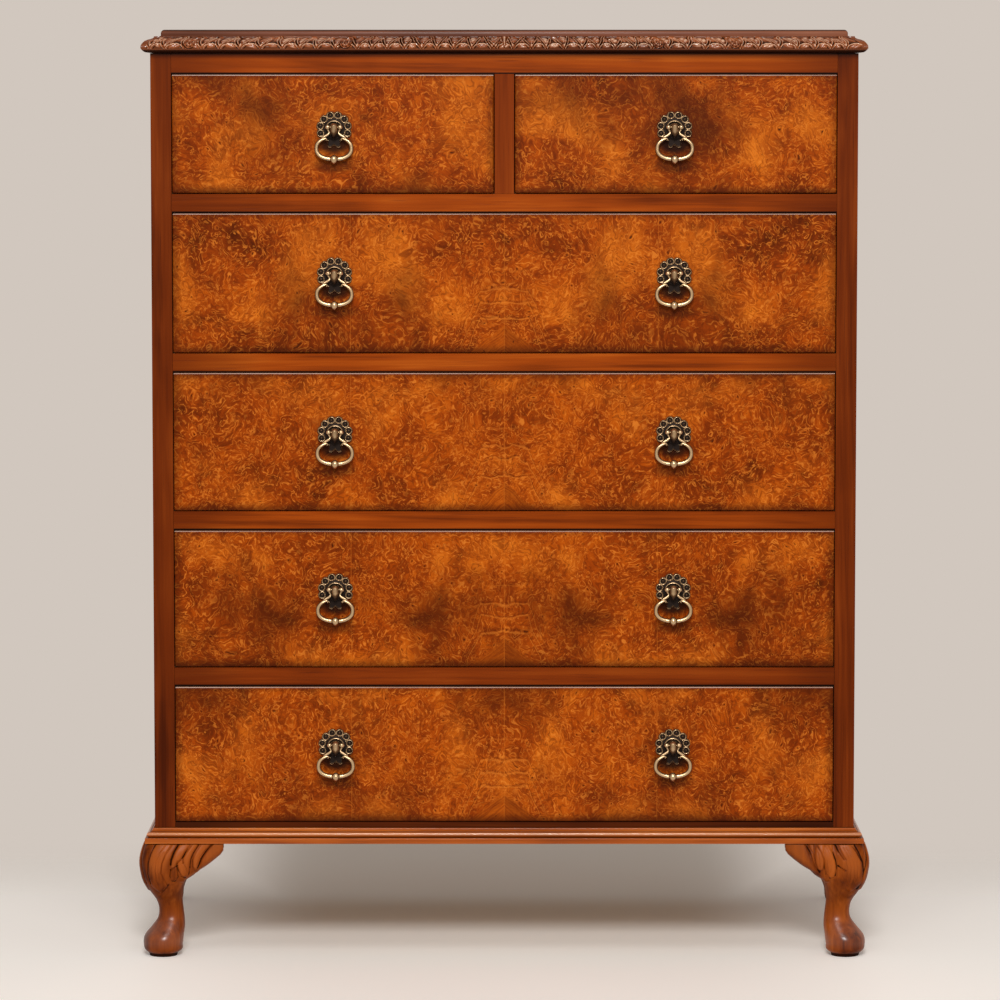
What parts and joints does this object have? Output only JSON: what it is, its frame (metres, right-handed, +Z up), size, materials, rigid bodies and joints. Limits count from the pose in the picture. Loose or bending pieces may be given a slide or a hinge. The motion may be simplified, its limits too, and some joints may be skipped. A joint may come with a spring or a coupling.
{
  "type": "chest of drawers",
  "caption": "Tall wooden chest of drawers with short drawers over long ones, carved top edge, cabriole legs and brass drop-ring pulls.",
  "frame": {"origin": "on the floor, under the middle of the whole chest's box", "axes": "+Z up, -Y towards the person at the drawers, +X to their right"},
  "size_m": [0.9316, 0.479, 1.1825],
  "materials": {
    "polished_walnut": "french polished",
    "burr_veneer": "polished burr walnut veneer",
    "carved_walnut": "carved and polished",
    "drawer_lining": "unpolished oak",
    "frame_wood": "unpolished softwood",
    "plywood": "thin stained ply",
    "aged_brass": "antique"
  },
  "bodies": {
    "root": {"side_left": "polished_walnut", "side_right": "polished_walnut", "back_panel": "plywood", "top_board": "polished_walnut", "top_moulding": "carved_walnut", "top_rail": "polished_walnut", "drawer_divider": "polished_walnut", "rail_1": "polished_walnut", "rail_2": "polished_walnut", "rail_3": "polished_walnut", "rail_4": "polished_walnut", "bottom_rail": "polished_walnut", "dust_frame_1": "frame_wood", "dust_frame_2": "frame_wood", "dust_frame_3": "frame_wood", "dust_frame_4": "frame_wood", "bottom_frame": "frame_wood", "base_moulding": "polished_walnut", "leg_front_left": "carved_walnut", "leg_front_right": "carved_walnut", "leg_rear_left": "carved_walnut", "leg_rear_right": "carved_walnut"},
    "top_left_drawer": {"top_left_drawer_front": "burr_veneer", "top_left_drawer_box": "drawer_lining", "top_left_drawer_bottom": "drawer_lining", "top_left_pull_plate": "aged_brass"},
    "top_right_drawer": {"top_right_drawer_front": "burr_veneer", "top_right_drawer_box": "drawer_lining", "top_right_drawer_bottom": "drawer_lining", "top_right_pull_plate": "aged_brass"},
    "long_1_drawer": {"long_1_drawer_front": "burr_veneer", "long_1_drawer_box": "drawer_lining", "long_1_drawer_bottom": "drawer_lining", "long_1_left_pull_plate": "aged_brass", "long_1_right_pull_plate": "aged_brass"},
    "long_2_drawer": {"long_2_drawer_front": "burr_veneer", "long_2_drawer_box": "drawer_lining", "long_2_drawer_bottom": "drawer_lining", "long_2_left_pull_plate": "aged_brass", "long_2_right_pull_plate": "aged_brass"},
    "long_3_drawer": {"long_3_drawer_front": "burr_veneer", "long_3_drawer_box": "drawer_lining", "long_3_drawer_bottom": "drawer_lining", "long_3_left_pull_plate": "aged_brass", "long_3_right_pull_plate": "aged_brass"},
    "long_4_drawer": {"long_4_drawer_front": "burr_veneer", "long_4_drawer_box": "drawer_lining", "long_4_drawer_bottom": "drawer_lining", "long_4_left_pull_plate": "aged_brass", "long_4_right_pull_plate": "aged_brass"},
    "top_left_pull_ring": {"top_left_pull_bail": "aged_brass"},
    "top_right_pull_ring": {"top_right_pull_bail": "aged_brass"},
    "long_1_left_pull_ring": {"long_1_left_pull_bail": "aged_brass"},
    "long_1_right_pull_ring": {"long_1_right_pull_bail": "aged_brass"},
    "long_2_left_pull_ring": {"long_2_left_pull_bail": "aged_brass"},
    "long_2_right_pull_ring": {"long_2_right_pull_bail": "aged_brass"},
    "long_3_left_pull_ring": {"long_3_left_pull_bail": "aged_brass"},
    "long_3_right_pull_ring": {"long_3_right_pull_bail": "aged_brass"},
    "long_4_left_pull_ring": {"long_4_left_pull_bail": "aged_brass"},
    "long_4_right_pull_ring": {"long_4_right_pull_bail": "aged_brass"}
  },
  "joints": [
    {"name": "top_left_drawer_slide", "type": "slide", "parent": "root", "child": "top_left_drawer", "axis": [0, -1, 0], "range_m": [0, 0.34]},
    {"name": "top_right_drawer_slide", "type": "slide", "parent": "root", "child": "top_right_drawer", "axis": [0, -1, 0], "range_m": [0, 0.34]},
    {"name": "long_1_drawer_slide", "type": "slide", "parent": "root", "child": "long_1_drawer", "axis": [0, -1, 0], "range_m": [0, 0.34]},
    {"name": "long_2_drawer_slide", "type": "slide", "parent": "root", "child": "long_2_drawer", "axis": [0, -1, 0], "range_m": [0, 0.34]},
    {"name": "long_3_drawer_slide", "type": "slide", "parent": "root", "child": "long_3_drawer", "axis": [0, -1, 0], "range_m": [0, 0.34]},
    {"name": "long_4_drawer_slide", "type": "slide", "parent": "root", "child": "long_4_drawer", "axis": [0, -1, 0], "range_m": [0, 0.34]},
    {"name": "top_left_pull_swing", "type": "hinge", "parent": "top_left_drawer", "child": "top_left_pull_ring", "pos_m": [-0.215, -0.2335, 1.05975], "axis": [-1, 0, 0], "range_deg": [-6, 100]},
    {"name": "top_right_pull_swing", "type": "hinge", "parent": "top_right_drawer", "child": "top_right_pull_ring", "pos_m": [0.215, -0.2335, 1.05975], "axis": [-1, 0, 0], "range_deg": [-6, 100]},
    {"name": "long_1_left_pull_swing", "type": "hinge", "parent": "long_1_drawer", "child": "long_1_left_pull_ring", "pos_m": [-0.215, -0.2335, 0.87555], "axis": [-1, 0, 0], "range_deg": [-6, 100]},
    {"name": "long_1_right_pull_swing", "type": "hinge", "parent": "long_1_drawer", "child": "long_1_right_pull_ring", "pos_m": [0.215, -0.2335, 0.87555], "axis": [-1, 0, 0], "range_deg": [-6, 100]},
    {"name": "long_2_left_pull_swing", "type": "hinge", "parent": "long_2_drawer", "child": "long_2_left_pull_ring", "pos_m": [-0.215, -0.2335, 0.67405], "axis": [-1, 0, 0], "range_deg": [-6, 100]},
    {"name": "long_2_right_pull_swing", "type": "hinge", "parent": "long_2_drawer", "child": "long_2_right_pull_ring", "pos_m": [0.215, -0.2335, 0.67405], "axis": [-1, 0, 0], "range_deg": [-6, 100]},
    {"name": "long_3_left_pull_swing", "type": "hinge", "parent": "long_3_drawer", "child": "long_3_left_pull_ring", "pos_m": [-0.215, -0.2335, 0.47355], "axis": [-1, 0, 0], "range_deg": [-6, 100]},
    {"name": "long_3_right_pull_swing", "type": "hinge", "parent": "long_3_drawer", "child": "long_3_right_pull_ring", "pos_m": [0.215, -0.2335, 0.47355], "axis": [-1, 0, 0], "range_deg": [-6, 100]},
    {"name": "long_4_left_pull_swing", "type": "hinge", "parent": "long_4_drawer", "child": "long_4_left_pull_ring", "pos_m": [-0.215, -0.2335, 0.27405], "axis": [-1, 0, 0], "range_deg": [-6, 100]},
    {"name": "long_4_right_pull_swing", "type": "hinge", "parent": "long_4_drawer", "child": "long_4_right_pull_ring", "pos_m": [0.215, -0.2335, 0.27405], "axis": [-1, 0, 0], "range_deg": [-6, 100]}
  ]
}
